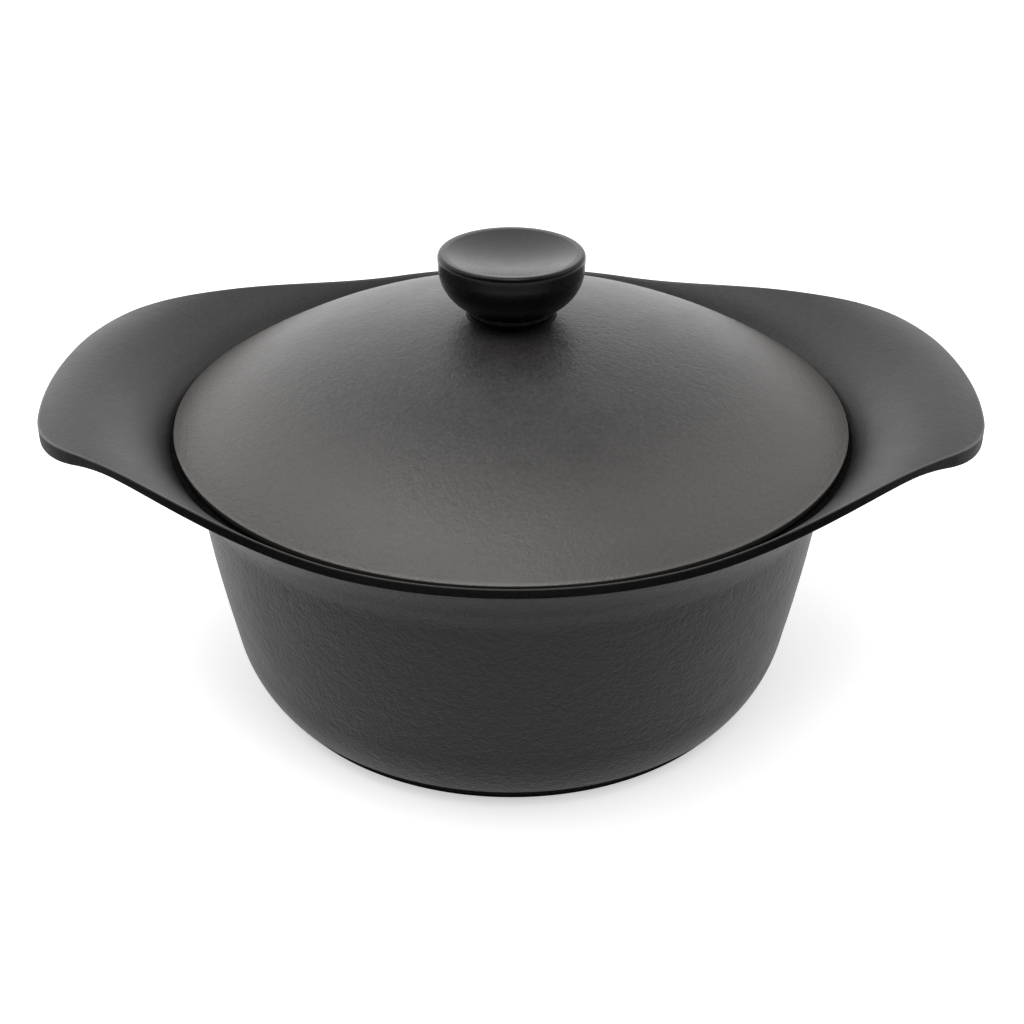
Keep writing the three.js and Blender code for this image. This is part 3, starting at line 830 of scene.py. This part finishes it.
# the CAD keeps 0.3 mm clear above and below the seat washer, which would show as a pale line
seat_bottom = Vector((0, 0, LID_HIGH.z - SEAT_BITE))
seat_top = Vector((SEAT_HIGH.x, 0, KNOB_LOW.z + SEAT_BITE))
make_ring("knob_seat", SEAT_WASHER_BORE_RADIUS, seat_bottom, seat_top, 0.1,
          "lid", "knob_seat_washer", DARK_STEEL)
make_insert()
make_ring("plain_washer", WASHER_BORE_RADIUS, FLAT_LOW, FLAT_HIGH, 0.2,
          "lid_fastening", "flat_washer", STEEL)
make_spring_washer()
make_screw()

# ---- floor, light and camera ---------------------------------------------------------------------


def make_floor():
    size = FLOOR_HALF_WIDTH
    mesh = bpy.data.meshes.new("floor")
    corners = [(-size, -size), (size, -size), (size, size), (-size, size)]
    mesh.from_pydata([(x, y, -FLOOR_DROP) for x, y in corners], [], [(0, 1, 2, 3)])
    floor = bpy.data.objects.new("floor", mesh)
    bpy.context.scene.collection.objects.link(floor)
    material = bpy.data.materials.new("floor_white")
    material.use_nodes = True
    shader = material.node_tree.nodes["Principled BSDF"]
    shader.inputs["Base Color"].default_value = (FLOOR_WHITE, FLOOR_WHITE, FLOOR_WHITE, 1)
    shader.inputs["Roughness"].default_value = 0.9
    shader.inputs["Specular IOR Level"].default_value = 0.1
    shader.inputs["Emission Color"].default_value = (1, 1, 1, 1)
    shader.inputs["Emission Strength"].default_value = FLOOR_GLOW
    mesh.materials.append(material)


def make_world():
    """Soft light from a few broad lamps far away, most of it from behind and above. Each lamp is
    brightest in its own direction and fades over some tens of degrees round it. Where the camera
    sees past the floor there is a plain white backdrop."""
    lamps = [
        # compass angle from +X towards +Y, height above the horizon, sharpness, brightness
        ("right", 12, 50, 8, 1.5),
        ("back_right", 45, 45, 8, 0.4),
        ("back_right_low", 45, 10, 8, 0.7),
        ("back_low", 90, 10, 8, 1.7),
        ("back_left", 135, 45, 8, 0.5),
        ("back_left_low", 135, 10, 8, 1.4),
        ("left", 165, 50, 8, 1.2),
        ("overhead_front", 276, 71, 40, 7.0),
        ("overhead_left", 180, 68, 40, 4.4),
    ]
    world = bpy.data.worlds.new("studio")
    bpy.context.scene.world = world
    world.use_nodes = True
    nodes, links = world.node_tree.nodes, world.node_tree.links
    place = nodes.new("ShaderNodeTexCoord").outputs["Generated"]

    def calculate(operation, *values):
        made = nodes.new("ShaderNodeMath")
        made.operation = operation
        for socket, value in zip(made.inputs, values):
            if isinstance(value, bpy.types.NodeSocket):
                links.new(value, socket)
            else:
                socket.default_value = value
        return made.outputs["Value"]

    total = 0.0
    for _name, compass, height, sharpness, brightness in lamps:
        across = math.cos(math.radians(height))
        facing = nodes.new("ShaderNodeVectorMath")
        facing.operation = "DOT_PRODUCT"
        facing.inputs[1].default_value = (across * math.cos(math.radians(compass)),
                                          across * math.sin(math.radians(compass)),
                                          math.sin(math.radians(height)))
        links.new(place, facing.inputs[0])
        lit = calculate("MAXIMUM", facing.outputs["Value"], 0.0)
        lobe = calculate("POWER", lit, sharpness)
        total = calculate("MULTIPLY_ADD", lobe, brightness, total)
    seen = nodes.new("ShaderNodeLightPath").outputs["Is Camera Ray"]
    shortfall = calculate("SUBTRACT", BACKDROP_BRIGHTNESS, total)
    background = nodes["Background"]
    background.inputs["Color"].default_value = (1, 1, 1, 1)
    links.new(calculate("MULTIPLY_ADD", seen, shortfall, total), background.inputs["Strength"])


def make_camera():
    """At the photograph's angle: in front, looking down by a little under 30 degrees, and turned
    by a fifth of a degree about the line of sight, as the photograph is."""
    data = bpy.data.cameras.new("camera")
    data.lens = CAMERA_LENS
    data.sensor_width = CAMERA_SENSOR
    data.clip_start = 0.01
    data.clip_end = 50.0
    camera = bpy.data.objects.new("camera", data)
    camera.location = CAMERA_PLACE
    tilt = Matrix.Rotation(math.radians(90 - CAMERA_DOWN_DEGREES), 3, "X")
    roll = Matrix.Rotation(math.radians(CAMERA_ROLL_DEGREES), 3, "Z")
    camera.rotation_euler = (tilt @ roll).to_euler()
    bpy.context.scene.collection.objects.link(camera)
    bpy.context.scene.camera = camera


make_floor()
make_world()
make_camera()
bpy.context.scene.view_settings.view_transform = "Standard"
bpy.context.scene.view_settings.look = "None"
